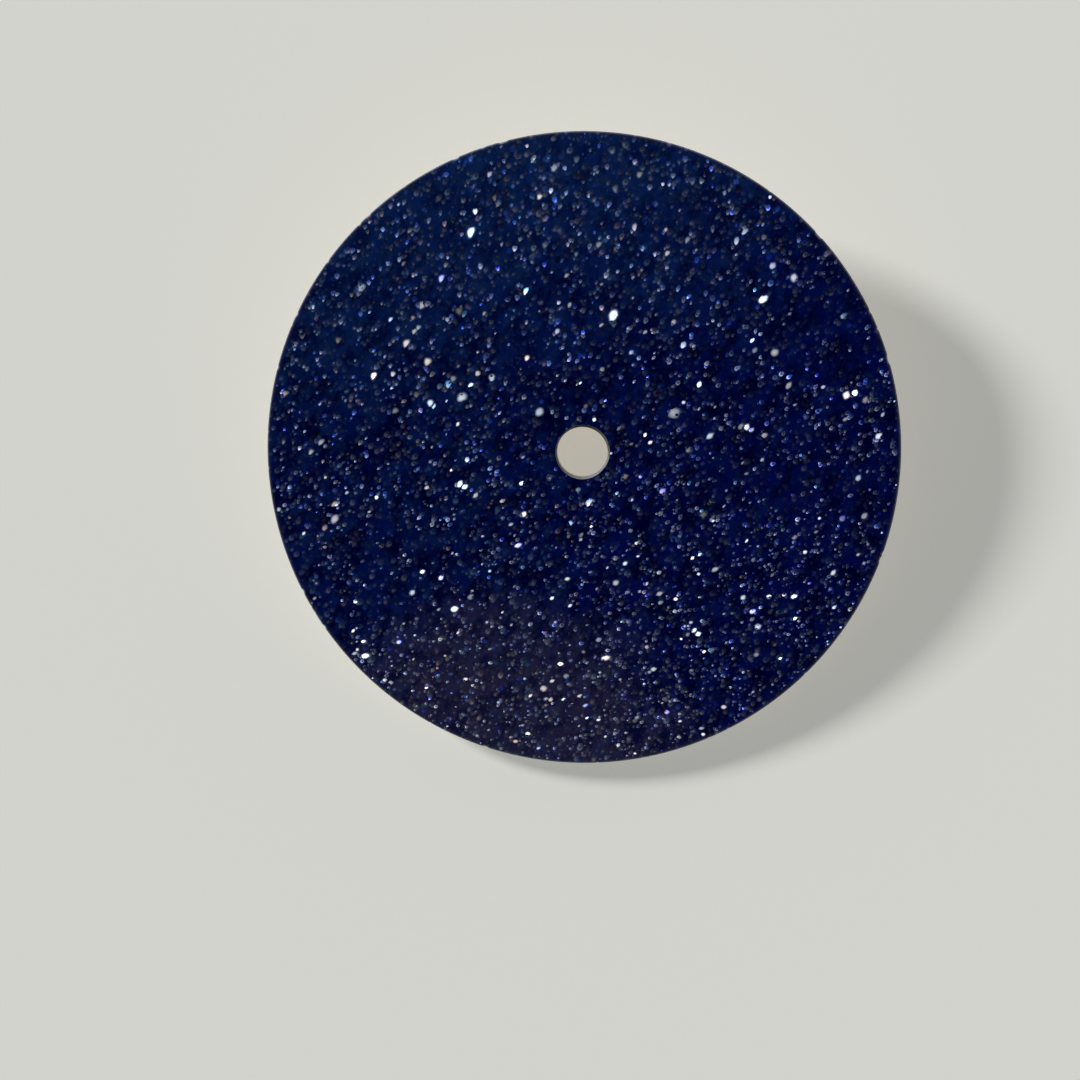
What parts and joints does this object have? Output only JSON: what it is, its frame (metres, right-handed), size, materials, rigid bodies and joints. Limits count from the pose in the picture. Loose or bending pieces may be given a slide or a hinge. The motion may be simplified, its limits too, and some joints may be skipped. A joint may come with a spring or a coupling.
{
  "type": "watch dial",
  "caption": "Round blank watch dial: polished aventurine glass disc on a brass plate with a centre hole and soldered feet.",
  "frame": {"origin": "centre of the hole at the brass plate's underside, the face that sits on the movement", "axes": "+Z out of the polished glass face, +X along the line through both feet, +Y towards the half of the dial in which that line lies"},
  "size_m": [0.0285, 0.0284, 0.0032],
  "materials": {
    "aventurine_glass": "polished dark blue glass full of small bright metallic flecks",
    "adhesive": "thin cured clear-amber adhesive",
    "plate_brass": "stamped brass, finely lapped and lightly tarnished",
    "foot_copper": "drawn copper wire, turned",
    "solder": "bright tin solder"
  },
  "bodies": {
    "root": {"aventurine_disc": "aventurine_glass", "bond_film": "adhesive", "base_plate": "plate_brass", "dial_foot_left": "foot_copper", "dial_foot_right": "foot_copper", "solder_joint_left": "solder", "solder_joint_right": "solder"}
  },
  "joints": []
}
